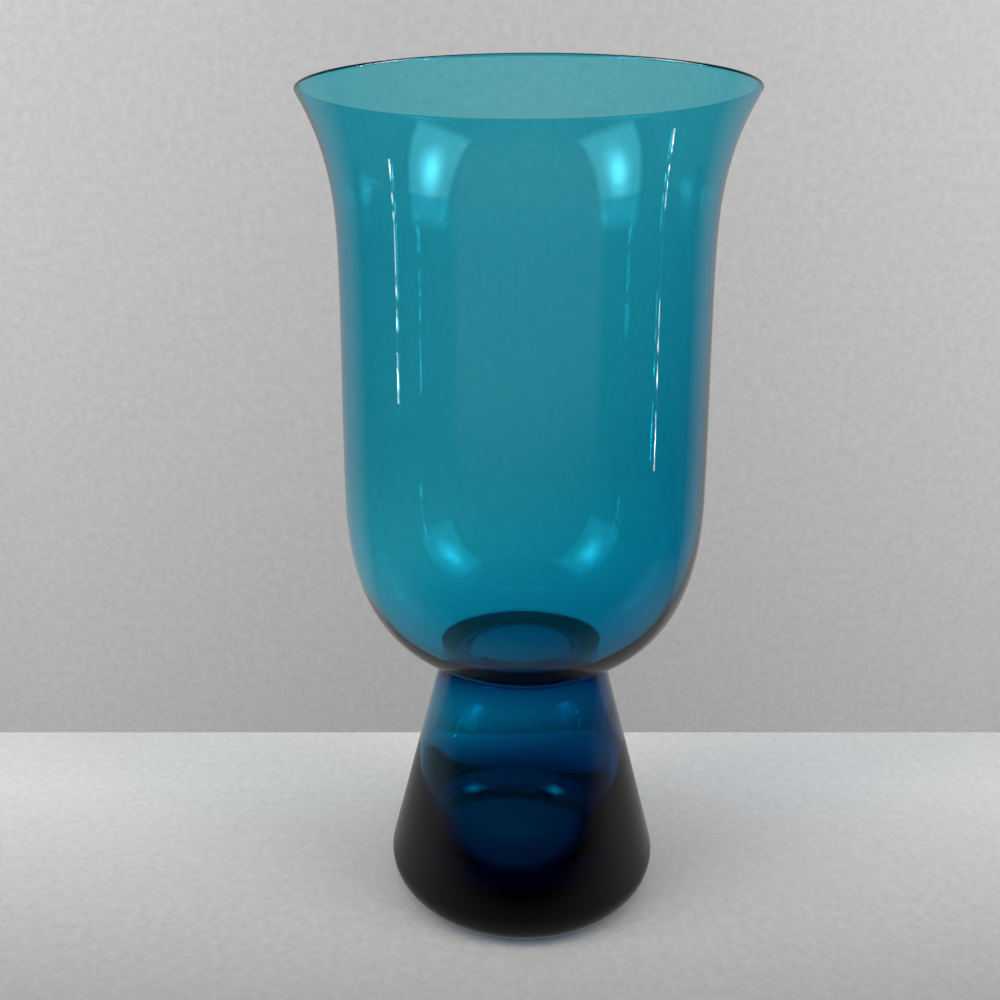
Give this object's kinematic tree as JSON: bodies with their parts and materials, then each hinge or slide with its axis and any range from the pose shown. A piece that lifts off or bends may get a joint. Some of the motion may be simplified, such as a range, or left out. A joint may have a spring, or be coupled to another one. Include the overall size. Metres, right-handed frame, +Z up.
{
  "type": "hurricane vase",
  "caption": "Footed hurricane vase: a flared bell bowl of tinted glass fused onto a hollow cone foot with a heavy base.",
  "frame": {"origin": "middle of the flat ground face that the vase stands on", "axes": "+Z up along the vase's axis, -Y towards the picture's viewer, +X to the viewer's right"},
  "size_m": [0.1296, 0.1296, 0.254],
  "materials": {
    "bowl_glass": "fire-polished, clear, teal right through, wall 1.2 to 1.6 mm and floor 3.4 mm",
    "foot_glass": "polished, the same teal glass, so thick that its sides and base look black"
  },
  "bodies": {
    "root": {"bowl": "bowl_glass", "foot": "foot_glass"}
  },
  "joints": []
}
